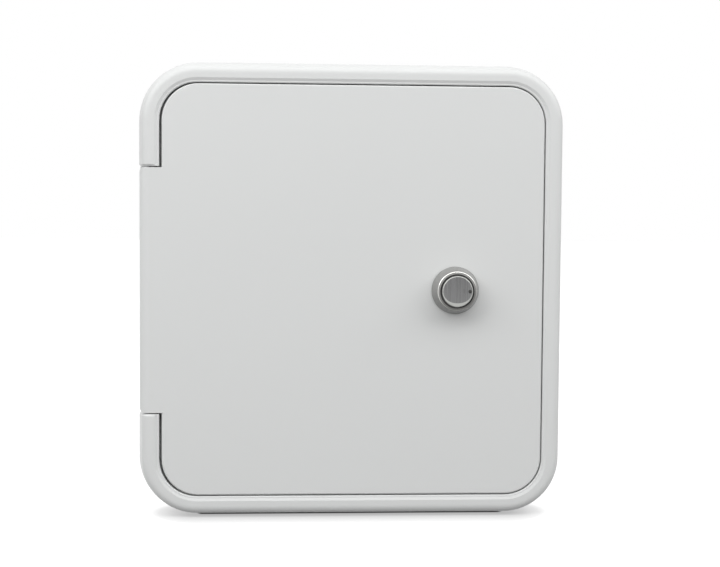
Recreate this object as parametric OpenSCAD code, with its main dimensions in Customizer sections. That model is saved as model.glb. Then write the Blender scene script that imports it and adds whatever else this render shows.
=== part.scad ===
// Access hatch for a caravan wall: a moulded frame, a flush hinged door and a cam lock
// X is to the right, Y goes into the wall and Z is up, with the wall's surface at y = 0

/* [Rim] */
// Width over the rim
body_w = 214; // [195:1:260]
// Height over the rim
body_h = 227.4; // [205:0.2:280]
// Outer corner radius of the rim
corner_r = 29.5; // [28:0.5:36]
// Height of the rim's crest above the wall
crest_h = 14; // [13.6:0.1:15]
// Height of the door's face and of the rim's inner ledge above the wall
face_h = 12.8; // [12.6:0.1:13.2]
// Width of the rim, from its outer edge to its inner wall
rim_w = 10.7; // [10.5:0.1:12]
// Lean of the rim's outer side, in degrees
side_lean = 12; // [8:0.5:14]
// Radius of the rim's outer rounding
edge_round = 4.1; // [3.5:0.1:4.5]
// Width of the flat crest
crest_w = 2.4; // [1.8:0.1:2.6]
// Width of the slope from the crest down to the ledge
slope_w = 1.3; // [0.8:0.1:1.5]
// Rounding where the ledge meets the gap round the door
ledge_round = 0.6; // [0.3:0.1:0.8]
// Wall thickness of the hollow rim
shell_t = 2.5; // [2:0.1:2.6]
// Width of the worn edge on the rim's ends beside the hinge
end_break = 0.9; // [0.3:0.1:1.2]

/* [Flange and collar] */
// Thickness of the flange that the screws hold
flange_t = 3; // [2.5:0.1:3.2]
// Width of the screw land between the rim and the collar
land_w = 13.8; // [12:0.1:16]
// Depth of the collar behind the wall
collar_depth = 38; // [25:1:60]
// Wall thickness of the collar
collar_t = 2.5; // [2:0.1:3]
// Corner radius of the collar
collar_r = 12; // [9:0.5:16]
// Height of the sealing lip above the screw land
lip_h = 1.2; // [0.8:0.1:1.4]

/* [Wall fixing] */
// Diameter of the screw holes
screw_hole_d = 4.4; // [3.6:0.1:5]
// Diameter of the screws' countersunk heads
screw_head_d = 8.4; // [7:0.1:9.5]
// Distance between the screws along the top and the bottom
screw_span_x = 124; // [90:1:140]
// Distance between the screws up each side
screw_span_z = 152; // [110:1:160]
// Thickness of the wall gasket
gasket_t = 1.5; // [1:0.1:1.8]
// Distance of the wall gasket inside the rim's edge
gasket_inset = 1.5; // [1:0.1:2.5]

/* [Door] */
// Gap round the door's free edges
door_gap = 0.6; // [0.5:0.1:1.6]
// Clearance between the rim and the door's hinge edge as it swings
swing_clear = 0.35; // [0.3:0.05:0.6]
// Thickness of the door's skin
door_t = 3; // [2.5:0.1:3.2]
// Chamfer round the door's face
edge_break = 0.6; // [0.3:0.1:1]
// Thickness of the ribs behind the door
rib_t = 1.5; // [1:0.1:2]
// Depth of the ribs behind the door
rib_d = 3; // [2:0.1:3.2]
// Distance from rib to rib
rib_pitch = 31; // [24:1:40]
// Thickness that the lock's seat adds to the door
seat_t = 2; // [1:0.1:2.4]

/* [Hinge] */
// Length of the hinge lug
lug_len = 122; // [90:0.2:140]
// Gap at each end of the hinge lug
lug_gap = 0.6; // [0.4:0.1:1]
// Distance of the lug's outer side inside the rim's edge
lug_inset = 0.8; // [0.6:0.1:1.4]
// Gap between the hinge barrel and the flange
barrel_clear = 0.3; // [0.3:0.05:0.5]
// Diameter of the hinge pins
pin_d = 3; // [2.5:0.1:3.2]
// Length of each hinge pin
pin_len = 24; // [20:0.5:26]
// Length of each pin that sits in the frame
pin_in_frame = 10; // [8:0.5:12]
// Length of the solid knuckle at each end of the lug
knuckle_len = 16; // [14:0.5:20]
// Wall round the cored middle of the barrel
barrel_wall = 2.1; // [1.8:0.1:2.3]
// Chamfer at the lug's outer corners
lug_chamfer = 1.8; // [0.8:0.1:2.2]

/* [Door seal] */
// Width of the seal's base
seal_w = 4.8; // [4:0.1:5.4]
// Diameter of the seal's bulb
bulb_d = 3.1; // [2.6:0.1:3.4]
// Bore of the seal's bulb
bulb_bore = 1.5; // [1:0.1:1.8]
// Gap between the seal and the frame's lip
seal_clear = 0.3; // [0.25:0.05:0.5]
// Thickness of the walls of the seal's channel
channel_t = 1.2; // [1:0.1:1.6]
// Depth of the seal's channel
channel_d = 2; // [1.4:0.1:2.2]

/* [Lock] */
// Distance of the lock's centre from the rim's right edge
lock_inset = 55.8; // [54:0.1:60]
// Height of the lock above the middle of the door
lock_rise = 0.7; // [-20:0.1:20]
// Diameter of the lock's collar on the door
lock_base_d = 23.8; // [23:0.1:26]
// Narrowing of the lock's collar on each side, from the door to its front
lock_taper = 2.1; // [1.2:0.05:2.4]
// Height of the lock's collar
lock_h = 8.8; // [6:0.1:12]
// Width of the ring round the recess in the lock's front
lock_ring_w = 1.4; // [1.1:0.05:1.6]
// Depth of the recess, down to the plug's shoulder
recess_depth = 2.6; // [2.2:0.1:3.2]
// Distance that the lock's collar stands out past the threaded barrel
lock_flange_w = 2.4; // [2.2:0.1:3]
// Depth of each flat on the barrel
flat_cut = 1.5; // [1:0.1:1.8]
// Length of the barrel behind the door's face
barrel_len = 14.8; // [13.5:0.1:18]
// Thickness of the gasket under the lock's collar
lock_gasket_t = 0.4; // [0.3:0.1:0.8]
// Wall between the plug and the barrel's flats
barrel_t = 2; // [1.8:0.1:2.4]
// Thickness of the plug's head
plug_head_t = 1.4; // [1:0.1:1.6]
// Width of the nut outside the barrel, at its flats
nut_w = 3.5; // [3:0.1:4.5]
// Thickness of the nut
nut_t = 3; // [2:0.1:3.5]
// Thickness of the lock washer
lock_washer_t = 0.8; // [0.5:0.1:1]

/* [Key and wafers] */
// Width of the keyway
key_w = 1.9; // [1.4:0.1:2.2]
// Part of the plug left above and below the keyway
key_margin = 2; // [1.7:0.1:2.6]
// Number of wafers
wafers = 5; // [3:1:5]
// Thickness of each wafer
wafer_t = 0.8; // [0.6:0.1:1]
// Width of each wafer
wafer_w = 4.2; // [3.8:0.1:4.6]
// Distance from wafer to wafer
wafer_pitch = 2.4; // [2:0.1:2.6]

/* [Dust cover] */
// Width of the groove round the dust cover
cover_groove = 0.75; // [0.6:0.05:1.2]
// Thickness of the dust cover
cover_t = 1.1; // [0.9:0.1:1.5]
// Distance of the cover's pivot inside the recess
pivot_inset = 2.2; // [2.1:0.1:2.6]
// Diameter of the pivot rivet
rivet_d = 1.6; // [1.2:0.1:1.8]
// Height of the cover's dome
dome_h = 0.35; // [0.2:0.05:0.5]
// Length of the two grip grooves
groove_l = 2.4; // [1.5:0.1:3]

/* [Cam and keeper] */
// Thickness of the cam
cam_t = 2; // [1.5:0.1:2.5]
// Width of the cam
cam_w = 14; // [12:0.5:16]
// Reach of the cam from the lock's centre
cam_reach = 24.5; // [21:0.5:25]
// Width of the square that drives the cam, as a share of the plug's diameter
tang_share = 0.525; // [0.46:0.005:0.57]
// Thickness of the stop washer
stop_t = 1; // [0.8:0.1:1.5]
// Angle that the lock turns through
turn = 90; // [60:5:100]
// Thickness of the keeper's sheet
keeper_t = 2; // [1.5:0.1:2.5]
// Height of the keeper
keeper_h = 20; // [16:1:30]
// Distance that the keeper stands out from the collar
keeper_reach = 12; // [10:0.5:13]
// Length of the keeper's leg along the collar
keeper_leg = 17; // [14:0.5:24]
// Gap between the cam and the keeper
cam_clear = 0.8; // [0.6:0.1:1.2]

/* [Hidden] */
$fn = 64;

// Radial play of what turns, and of what is only laid together
run_fit = 0.06;
loose = 0.2;
// Extra length of each cutting shape
past = 0.5;

// Heights above the wall, measured outwards
land_h = gasket_t + flange_t;
lip_top = land_h + lip_h;
skin_back = face_h - door_t;
seat_back = skin_back - seat_t;

// Centre of the rim's outer rounding, which the leaning side runs into
round_h = crest_h - edge_round;
round_s = edge_round / cos(side_lean) + (round_h - gasket_t) * tan(side_lean);

// Hinge axis, with the barrel just clear of the flange
hinge_d = face_h - land_h - barrel_clear;
hinge_r = hinge_d / 2;
hinge_s = lug_inset + hinge_r;
hinge_x = hinge_s - body_w / 2;
hinge_h = face_h - hinge_r;
notch_half = lug_len / 2 + lug_gap;
ear_len = pin_in_frame + 2.5;

// The door's hinge edge swings past the rim's ledge with a steady clearance
ledge_run = rim_w - ledge_round - hinge_s;
ledge_reach = sqrt(pow(ledge_run, 2) + pow(hinge_r - ledge_round, 2)) + ledge_round;
hinge_gap = sqrt(pow(ledge_reach + swing_clear, 2) - pow(hinge_r - door_t, 2)) - (rim_w - hinge_s);

// Door outline
door_w = body_w - 2 * rim_w - door_gap - hinge_gap;
door_h = body_h - 2 * rim_w - 2 * door_gap;
door_r = corner_r - rim_w - door_gap;
door_x = (hinge_gap - door_gap) / 2;

// Collar and the lip at its front
collar_w = body_w - 2 * (rim_w + land_w);
collar_h = body_h - 2 * (rim_w + land_w);
collar_in_x = collar_w / 2 - collar_t;
screw_row_x = body_w / 2 - rim_w - land_w / 2;
screw_row_z = body_h / 2 - rim_w - land_w / 2;

// Path of the door seal, over the middle of the lip
seal_path_w = collar_w - collar_t;
seal_path_h = collar_h - collar_t;
seal_path_r = collar_r - collar_t / 2;
channel_w = seal_w + loose;

// Lock diameters, from the collar inwards
lock_x = body_w / 2 - lock_inset;
lock_front_d = lock_base_d - 2 * lock_taper;
recess_d = lock_front_d - 2 * lock_ring_w;
cover_d = recess_d - 2 * cover_groove;
pivot_x = recess_d / 2 - pivot_inset;
barrel_d = lock_base_d - 2 * lock_flange_w;
barrel_flats = barrel_d - 2 * flat_cut;
plug_d = barrel_flats - 2 * barrel_t;
key_h = plug_d - 2 * key_margin;
tang = plug_d * tang_share;
nut_af = barrel_d + 2 * nut_w;

// Lock heights, from the front to the back
flange_base = face_h + lock_gasket_t;
lock_front = flange_base + lock_h;
shoulder = lock_front - recess_depth;
head_top = shoulder + plug_head_t;
cover_gap = 0.25;
cover_base = lock_front + cover_gap;
pivot_washer_t = 0.2;
barrel_back = face_h - barrel_len;
plug_back = barrel_back - 0.3;
stop_back = plug_back - stop_t;
cam_back = stop_back - cam_t;
cam_washer_t = 0.8;
screw_seat = cam_back - cam_washer_t;
screw_head_t = 2.4;
cam_screw_d = tang - 2.3;
cam_screw_len = 10;
seat_r = nut_af / 2 + 3.5;

// Wafer pack
first_wafer = shoulder - 2.4;
wafer_half = plug_d / 2 - 0.25;
groove_reach = plug_d / 2 + 1.3;

// Stops for the cam's turn
post_r = 0.9;
post_at = plug_d / 2 + 1.05;
finger_w = 3;
post_angle = asin(post_r / post_at) + asin(finger_w / 2 / post_at) + 1;

// Keeper
keeper_back = stop_back + cam_clear;
keeper_screw_d = 3;
keeper_screw_h = keeper_back - keeper_leg + 6.5;
keeper_screw_y = keeper_h / 2 - 4.5;

shell_white = [0.86, 0.87, 0.87];
steel = [0.62, 0.62, 0.63];
dark_steel = [0.45, 0.45, 0.46];
brass = [0.74, 0.62, 0.35];
black = [0.12, 0.12, 0.12];
grey_foam = [0.30, 0.30, 0.31];

// Turns a shape drawn as seen from the front, with z outwards, into the hatch's frame
module upright() rotate([90, 0, 0]) children();

module at_lock() upright() translate([lock_x, lock_rise, 0]) children();

module rounded_rect(w, h, r) {
    square([w - 2 * r, h], center = true);
    square([w, h - 2 * r], center = true);
    for (x = [-1, 1], y = [-1, 1])
        translate([x * (w / 2 - r), y * (h / 2 - r)]) circle(r = r);
}

module ring_outline(w, h, r, t) {
    difference() {
        rounded_rect(w, h, r);
        rounded_rect(w - 2 * t, h - 2 * t, r - t);
    }
}

// Sweeps a profile round a rounded rectangle: its x runs inwards and its y outwards from the wall
module sweep_round(w, h, r) {
    for (k = [0:3]) {
        along = k % 2 == 0 ? w : h;
        reach = (k % 2 == 0 ? h : w) / 2;
        rotate([0, 0, 90 * k]) {
            translate([0, reach, 0]) rotate([90, 0, -90])
                linear_extrude(height = along - 2 * r, center = true) children();
            translate([along / 2 - r, reach - r, 0])
                rotate_extrude(angle = 90) translate([r, 0]) mirror([1, 0]) children();
        }
    }
}

// Cylinder along the hinge axis, from one height to another
module along_hinge(r, from, to) {
    translate([hinge_x, from, hinge_h]) rotate([-90, 0, 0]) cylinder(r = r, h = to - from);
}

// Rim section with a leaning side, a rounded edge, a crest and a slope down to the ledge
module rim_profile() {
    translate([round_s, round_h]) circle(r = edge_round);
    translate([rim_w - ledge_round, face_h - ledge_round]) circle(r = ledge_round);
    polygon([
        [0, gasket_t],
        [round_s - edge_round * cos(side_lean), round_h + edge_round * sin(side_lean)],
        [round_s, crest_h], [round_s + crest_w, crest_h],
        [round_s + crest_w + slope_w, face_h],
        [rim_w - ledge_round, face_h], [rim_w, face_h - ledge_round], [rim_w, gasket_t]
    ]);
}

module trough_profile() {
    roof = crest_h - shell_t;
    shoulder_h = roof - 3;
    shoulder_s = shell_t + (shoulder_h - gasket_t) * tan(side_lean);
    inner = rim_w - shell_t;
    polygon([
        [shell_t, gasket_t - past], [shoulder_s, shoulder_h], [shoulder_s + 1.6, roof],
        [inner - 1, roof], [inner, roof - 1], [inner, gasket_t - past]
    ]);
}

// Chamfers that follow the rim's rounded edge at one end of the hinge notch
module rim_end_break() {
    prism = end_break * sqrt(2);
    step = 13;
    chord = 2 * edge_round * tan(step / 2);
    side_len = (round_h - gasket_t) / cos(side_lean) + edge_round * tan(side_lean);
    translate([round_s - body_w / 2, 0, round_h]) {
        translate([crest_w / 2, 0, edge_round]) rotate([45, 0, 0])
            cube([crest_w + chord, prism, prism], center = true);
        for (a = [step:step:89 - side_lean])
            rotate([0, -a, 0]) translate([0, 0, edge_round]) rotate([45, 0, 0])
                cube([chord, prism, prism], center = true);
        rotate([0, side_lean - 90, 0]) translate([-side_len / 2, 0, edge_round]) rotate([45, 0, 0])
            cube([side_len + chord, prism, prism], center = true);
    }
}

module rim() {
    difference() {
        sweep_round(body_w, body_h, corner_r) rim_profile();
        difference() {
            sweep_round(body_w, body_h, corner_r) trough_profile();
            translate([-body_w / 2 - past, -notch_half - ear_len, 0])
                cube([rim_w + 2 * past, 2 * (notch_half + ear_len), crest_h]);
        }
        translate([-body_w / 2 - past, -notch_half, land_h])
            cube([rim_w + 2 * past, 2 * notch_half, crest_h]);
        translate([-body_w / 2 - past, -notch_half, 0])
            cube([past + lug_inset, 2 * notch_half, crest_h]);
        for (side = [-1, 1]) translate([0, side * notch_half, 0]) rim_end_break();
    }
}

module screw_places() {
    for (x = [-1, 1], y = [-1, 1]) {
        translate([x * screw_span_x / 2, y * screw_row_z, 0]) children();
        translate([x * screw_row_x, y * screw_span_z / 2, 0]) children();
    }
}

module screw_hole() {
    head_h = (screw_head_d - screw_hole_d) / 2;
    translate([0, 0, -past]) cylinder(d = screw_hole_d, h = land_h + 2 * past);
    translate([0, 0, land_h - head_h]) cylinder(d1 = screw_hole_d, d2 = screw_head_d, h = head_h);
    translate([0, 0, land_h]) cylinder(d = screw_head_d, h = past);
}

module keeper_screw_places() {
    for (side = [-1, 1])
        translate([collar_in_x, lock_rise + side * keeper_screw_y, keeper_screw_h])
            rotate([0, 90, 0]) children();
}

module frame() color(shell_white) upright() {
    difference() {
        union() {
            rim();
            translate([0, 0, gasket_t]) linear_extrude(height = flange_t)
                ring_outline(body_w - 2 * rim_w + 2, body_h - 2 * rim_w + 2,
                    corner_r - rim_w + 1, land_w + 1 + collar_t / 2);
            translate([0, 0, -collar_depth]) linear_extrude(height = collar_depth + lip_top)
                ring_outline(collar_w, collar_h, collar_r, collar_t);
        }
        screw_places() screw_hole();
        for (side = [-1, 1])
            along_hinge(pin_d / 2 + run_fit, side * notch_half - (side < 0 ? pin_in_frame + past : past),
                side * notch_half + (side > 0 ? pin_in_frame + past : past));
        keeper_screw_places() translate([0, 0, -past]) cylinder(d = keeper_screw_d, h = collar_t + 2 * past);
    }
}

module wall_gasket() color(grey_foam) upright() {
    inset = 2 * gasket_inset;
    difference() {
        linear_extrude(height = gasket_t) difference() {
            rounded_rect(body_w - inset, body_h - inset, corner_r - gasket_inset);
            rounded_rect(collar_w + 2 * loose, collar_h + 2 * loose, collar_r + loose);
        }
        screw_places() translate([0, 0, -past]) cylinder(d = screw_hole_d, h = gasket_t + 2 * past);
    }
}

module keeper_section() {
    bend = keeper_t + 0.8;
    translate([-keeper_reach, -keeper_t]) square([keeper_reach - bend, keeper_t]);
    translate([-keeper_t, -keeper_leg]) square([keeper_t, keeper_leg - bend]);
    translate([-bend, -bend]) difference() {
        intersection() {
            circle(r = bend);
            square(bend);
        }
        circle(r = bend - keeper_t);
    }
}

// Bent plate that the cam turns behind, screwed inside the collar
module keeper() color(steel) upright() {
    difference() {
        translate([collar_in_x, lock_rise + keeper_h / 2, keeper_back + keeper_t]) rotate([90, 0, 0])
            linear_extrude(height = keeper_h) keeper_section();
        keeper_screw_places() translate([0, 0, -keeper_t - past])
            cylinder(d = keeper_screw_d + loose, h = keeper_t + 2 * past);
    }
}

module keeper_screws() color(dark_steel) upright() {
    head_h = 1.8;
    keeper_screw_places() {
        translate([0, 0, -keeper_t]) cylinder(d = keeper_screw_d, h = keeper_t + collar_t + 1.2);
        translate([0, 0, collar_t + 1.2]) cylinder(d1 = keeper_screw_d, d2 = 0.6, h = 1.6);
        translate([0, 0, -keeper_t - head_h]) cylinder(d1 = 4.4, d2 = 6, h = head_h);
    }
}

module lug_section() {
    translate([hinge_x, hinge_h]) circle(r = hinge_r);
    translate([hinge_x, skin_back]) square([door_x - door_w / 2 - hinge_x + 4, door_t]);
}

module lug() {
    pockets = 3;
    web = 2;
    room = lug_len - 2 * knuckle_len;
    pocket_len = (room - (pockets - 1) * web) / pockets;
    core_r = hinge_r - barrel_wall;
    difference() {
        translate([0, lug_len / 2, 0]) rotate([90, 0, 0]) linear_extrude(height = lug_len) lug_section();
        for (i = [0:pockets - 1])
            translate([0, -room / 2 + i * (pocket_len + web), 0]) {
                along_hinge(core_r, 0, pocket_len);
                translate([hinge_x - core_r, 0, hinge_h - hinge_r - past])
                    cube([2 * core_r, pocket_len, hinge_r + past]);
            }
        for (side = [-1, 1]) {
            along_hinge(pin_d / 2, side > 0 ? room / 2 - past : -lug_len / 2 - past,
                side > 0 ? lug_len / 2 + past : -room / 2 + past);
            translate([hinge_x - hinge_r, side * lug_len / 2, 0]) rotate([0, 0, 45])
                cube([lug_chamfer * sqrt(2), lug_chamfer * sqrt(2), 4 * crest_h], center = true);
        }
    }
}

// Lock seat and rib grid behind the door, as one outline
module rib_outline() {
    grid_w = seal_path_w - channel_w - channel_t;
    grid_h = seal_path_h - channel_w - channel_t;
    columns = floor(grid_w / 2 / rib_pitch);
    rows = floor(grid_h / 2 / rib_pitch);
    difference() {
        union() {
            for (i = [-columns:columns])
                translate([i * rib_pitch, 0]) square([rib_t, grid_h], center = true);
            for (i = [-rows:rows])
                translate([0, i * rib_pitch]) square([grid_w, rib_t], center = true);
            translate([lock_x, lock_rise]) circle(r = seat_r + rib_t);
        }
        translate([lock_x, lock_rise]) circle(r = seat_r);
    }
}

module barrel_outline(play) {
    intersection() {
        circle(d = barrel_d + 2 * play);
        square([barrel_flats + 2 * play, barrel_d + 4], center = true);
    }
}

module door_panel() {
    difference() {
        translate([door_x, 0, skin_back]) linear_extrude(height = door_t)
            rounded_rect(door_w, door_h, door_r);
        translate([door_x, 0, 0]) sweep_round(door_w, door_h, door_r)
            polygon([[-past, face_h - edge_break - past], [edge_break + past, face_h + past],
                [-past, face_h + past]]);
    }
}

module door() color(shell_white) upright() {
    difference() {
        union() {
            door_panel();
            lug();
            translate([0, 0, skin_back - rib_d]) linear_extrude(height = rib_d) rib_outline();
            translate([lock_x, lock_rise, seat_back]) cylinder(r = seat_r + rib_t / 2, h = seat_t);
            translate([0, 0, skin_back - channel_d]) linear_extrude(height = channel_d) {
                ring_outline(seal_path_w + channel_w + 2 * channel_t,
                    seal_path_h + channel_w + 2 * channel_t,
                    seal_path_r + channel_w / 2 + channel_t, channel_t);
                ring_outline(seal_path_w - channel_w, seal_path_h - channel_w,
                    seal_path_r - channel_w / 2, channel_t);
            }
        }
        translate([lock_x, lock_rise, seat_back - past])
            linear_extrude(height = face_h - seat_back + 2 * past) barrel_outline(loose);
    }
}

// Bulb seal in the door's channel, just clear of the frame's lip
module door_seal() color(black) upright() {
    base_w = seal_path_w + seal_w;
    bulb_h = lip_top + seal_clear + bulb_d / 2;
    sweep_round(base_w, seal_path_h + seal_w, seal_path_r + seal_w / 2) {
        difference() {
            union() {
                translate([0, skin_back - 1]) square([seal_w, 1]);
                translate([seal_w / 2 - 0.8, bulb_h]) square([1.6, skin_back - bulb_h - 0.5]);
                translate([seal_w / 2, bulb_h]) circle(d = bulb_d);
            }
            translate([seal_w / 2, bulb_h]) circle(d = bulb_bore);
        }
    }
}

module hinge_pin(side) {
    inner = notch_half + pin_in_frame - pin_len;
    outer = notch_half + pin_in_frame;
    along_hinge(pin_d / 2, side > 0 ? inner : -outer, side > 0 ? outer : -inner);
}

module upper_hinge_pin() color(steel) upright() hinge_pin(1);

module lower_hinge_pin() color(steel) upright() hinge_pin(-1);

// Lock body with a tapered collar, a flatted barrel and two stop posts
module lock_housing() color(steel) at_lock() {
    difference() {
        union() {
            translate([0, 0, flange_base]) cylinder(d1 = lock_base_d, d2 = lock_front_d, h = lock_h);
            translate([0, 0, barrel_back]) linear_extrude(height = flange_base - barrel_back + 1)
                barrel_outline(0);
        }
        translate([0, 0, barrel_back - past]) cylinder(d = plug_d + 2 * run_fit, h = lock_front - barrel_back);
        translate([0, 0, shoulder]) cylinder(d = recess_d, h = recess_depth + past);
        translate([-wafer_w / 2 - loose, -groove_reach, first_wafer - wafers * wafer_pitch])
            cube([wafer_w + 2 * loose, 2 * groove_reach, wafers * wafer_pitch + 1]);
    }
    for (angle = [-90 - post_angle, turn - 90 + post_angle])
        rotate([0, 0, angle]) translate([post_at, 0, plug_back - stop_t + 0.1])
            cylinder(r = post_r, h = barrel_back - plug_back + stop_t);
}

module lock_gasket() color(black) at_lock() {
    translate([0, 0, face_h]) difference() {
        cylinder(d = lock_base_d - 0.6, h = lock_gasket_t);
        translate([0, 0, -past]) cylinder(d = barrel_d + 2 * loose, h = lock_gasket_t + 2 * past);
    }
}

module lock_washer() color(dark_steel) at_lock() {
    teeth = 12;
    translate([0, 0, seat_back - lock_washer_t]) difference() {
        cylinder(d = nut_af, h = lock_washer_t);
        translate([0, 0, -past]) cylinder(d = barrel_d + 2 * run_fit, h = lock_washer_t + 2 * past);
        for (i = [0:teeth - 1])
            rotate([0, 0, i * 360 / teeth]) translate([barrel_d / 2, 0, -past])
                cylinder(d = 1.4, h = lock_washer_t + 2 * past);
    }
}

module lock_nut() color(steel) at_lock() {
    translate([0, 0, seat_back - lock_washer_t - nut_t]) difference() {
        cylinder(d = nut_af / cos(30), h = nut_t, $fn = 6);
        translate([0, 0, -past]) cylinder(d = barrel_d + 2 * run_fit, h = nut_t + 2 * past);
    }
}

function wafer_height(i) = first_wafer - i * wafer_pitch - wafer_t;

// Turning plug with its keyway, the slots for the wafers and the square that drives the cam
module lock_plug() color(brass) at_lock() {
    difference() {
        union() {
            translate([0, 0, shoulder]) cylinder(d = recess_d - 2 * run_fit, h = plug_head_t);
            translate([0, 0, plug_back]) cylinder(d = plug_d, h = shoulder - plug_back);
            translate([-tang / 2, -tang / 2, cam_back + 0.1]) cube([tang, tang, plug_back - cam_back]);
            translate([pivot_x, 0, head_top]) cylinder(r = rivet_d, h = cover_base - pivot_washer_t - head_top);
        }
        translate([-key_w / 2, -key_h / 2, wafer_height(wafers - 1) - 1])
            cube([key_w, key_h, head_top]);
        for (i = [0:wafers - 1])
            translate([-wafer_w / 2 - 0.05, -plug_d, wafer_height(i) - 0.05])
                cube([wafer_w + 0.1, 2 * plug_d, wafer_t + 0.1]);
        translate([0, 0, screw_seat]) cylinder(d = cam_screw_d, h = cam_screw_len);
        translate([pivot_x, 0, shoulder - past]) cylinder(d = rivet_d, h = cover_base);
    }
}

// Wafers drawn in flush with the plug, each with its window at its own height
module wafer_tumblers() color(brass) at_lock() {
    window_w = key_w + 0.4;
    for (i = [0:wafers - 1]) {
        lift = (i * 2 % 3 - 1) * 0.4;
        translate([0, 0, wafer_height(i)]) linear_extrude(height = wafer_t) difference() {
            intersection() {
                circle(r = wafer_half);
                square([wafer_w, 2 * plug_d], center = true);
            }
            translate([0, lift]) square([window_w, key_h - 1.6], center = true);
        }
    }
}

module square_hole(t) {
    translate([0, 0, t / 2]) cube([tang + 0.1, tang + 0.1, t + 2 * past], center = true);
}

module cam_stop() color(steel) at_lock() {
    hub = 2 * (post_at - post_r - 0.4);
    translate([0, 0, stop_back]) difference() {
        union() {
            cylinder(d = hub, h = stop_t);
            translate([-finger_w / 2, -post_at - post_r, 0]) cube([finger_w, post_at + post_r, stop_t]);
        }
        square_hole(stop_t);
    }
}

// Cam hanging down, clear of the keeper
module cam() color(steel) at_lock() {
    translate([0, 0, cam_back]) difference() {
        linear_extrude(height = cam_t) {
            circle(d = cam_w);
            translate([-cam_w / 2, -cam_reach + cam_w / 2]) square([cam_w, cam_reach - cam_w / 2]);
            translate([0, -cam_reach + cam_w / 2]) circle(d = cam_w);
        }
        square_hole(cam_t);
    }
}

module cam_washer() color(steel) at_lock() {
    translate([0, 0, screw_seat]) difference() {
        cylinder(d = 2 * cam_screw_d + 2, h = cam_washer_t);
        translate([0, 0, -past]) cylinder(d = cam_screw_d + loose, h = cam_washer_t + 2 * past);
    }
}

module cam_screw() color(dark_steel) at_lock() {
    translate([0, 0, screw_seat - screw_head_t]) cylinder(d = 2 * cam_screw_d, h = screw_head_t, $fn = 6);
    translate([0, 0, screw_seat]) cylinder(d = cam_screw_d, h = cam_screw_len);
}

module cover_section() {
    edge = cover_t * 0.7;
    half = cover_d / 2;
    dome_r = (half * half + dome_h * dome_h) / (2 * dome_h);
    square([half - edge, cover_t]);
    square([half, cover_t - edge]);
    translate([half - edge, cover_t - edge]) circle(r = edge);
    intersection() {
        translate([0, cover_t + dome_h - dome_r]) circle(r = dome_r, $fn = 360);
        translate([0, cover_t - 0.1]) square([half - edge, dome_h + 0.2]);
    }
}

// Domed cover that swings up about its rivet, with two short grip grooves
module dust_cover() color(steel) at_lock() {
    groove_w = 0.6;
    groove_x = pivot_x - 2.5;
    translate([0, 0, cover_base]) difference() {
        intersection() {
            rotate_extrude() cover_section();
            cylinder(d = cover_d, h = 2 * cover_t);
        }
        translate([pivot_x, 0, -past]) cylinder(d = rivet_d + 2 * run_fit, h = cover_t + 2);
        for (side = [-1, 1])
            translate([groove_x + side * groove_w, 0, cover_t + 0.5])
                cube([groove_w, groove_l, 1.2], center = true);
    }
}

module cover_washer() color(steel) at_lock() {
    translate([pivot_x, 0, cover_base - pivot_washer_t]) difference() {
        cylinder(r = rivet_d, h = pivot_washer_t);
        translate([0, 0, -past]) cylinder(d = rivet_d + 0.1, h = pivot_washer_t + 2 * past);
    }
}

module cover_rivet() color(steel) at_lock() {
    head_seat = cover_base + cover_t + dome_h;
    translate([pivot_x, 0, shoulder]) cylinder(d = rivet_d, h = head_seat - shoulder);
    translate([pivot_x, 0, head_seat]) cylinder(d1 = rivet_d + 0.5, d2 = rivet_d - 0.4, h = 0.3);
}

frame();
wall_gasket();
keeper();
keeper_screws();
door();
door_seal();
upper_hinge_pin();
lower_hinge_pin();
lock_housing();
lock_gasket();
lock_washer();
lock_nut();
lock_plug();
wafer_tumblers();
cam_stop();
cam();
cam_washer();
cam_screw();
dust_cover();
cover_washer();
cover_rivet();
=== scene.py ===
"""Looks of a caravan cord hatch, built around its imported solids."""

import math

import bmesh
import bpy
from mathutils import Matrix, Vector


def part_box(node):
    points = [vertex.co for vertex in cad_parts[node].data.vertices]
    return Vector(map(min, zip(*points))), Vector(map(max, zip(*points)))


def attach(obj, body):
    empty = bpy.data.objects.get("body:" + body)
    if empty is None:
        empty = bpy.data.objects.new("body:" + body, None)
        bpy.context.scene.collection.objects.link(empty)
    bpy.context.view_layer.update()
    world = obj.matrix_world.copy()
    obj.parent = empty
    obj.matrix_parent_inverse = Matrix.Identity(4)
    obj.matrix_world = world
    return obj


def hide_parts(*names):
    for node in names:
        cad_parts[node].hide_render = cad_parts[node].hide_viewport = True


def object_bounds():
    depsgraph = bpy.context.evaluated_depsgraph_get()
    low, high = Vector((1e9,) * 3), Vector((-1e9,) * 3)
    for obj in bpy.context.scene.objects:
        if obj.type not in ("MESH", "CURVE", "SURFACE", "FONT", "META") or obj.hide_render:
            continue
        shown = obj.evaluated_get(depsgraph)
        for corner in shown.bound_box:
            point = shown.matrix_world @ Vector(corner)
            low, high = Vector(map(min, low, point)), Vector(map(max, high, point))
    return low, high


bl_info = {
    "name": "Cord Hatch Looks",
    "version": (1, 0, 0),
    "blender": (4, 5, 0),
    "location": "View3D > Sidebar > Hatch",
    "description": "Finishes, lock details, floor, lamps and camera of a caravan cord hatch",
    "category": "Object",
}

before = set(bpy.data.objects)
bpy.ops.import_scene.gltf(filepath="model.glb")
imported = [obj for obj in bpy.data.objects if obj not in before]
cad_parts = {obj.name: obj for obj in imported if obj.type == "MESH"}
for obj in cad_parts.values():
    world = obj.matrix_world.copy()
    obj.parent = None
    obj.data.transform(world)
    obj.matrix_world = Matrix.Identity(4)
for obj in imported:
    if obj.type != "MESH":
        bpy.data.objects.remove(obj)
CAD_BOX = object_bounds()

MM = 0.001
PHOTO_W = 720
SENSOR = 36.0
# Sharp edges, in degrees: made pieces, and the rim with its many fine facets
SHARP = 35.0
RIM_SHARP = 12.0
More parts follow.
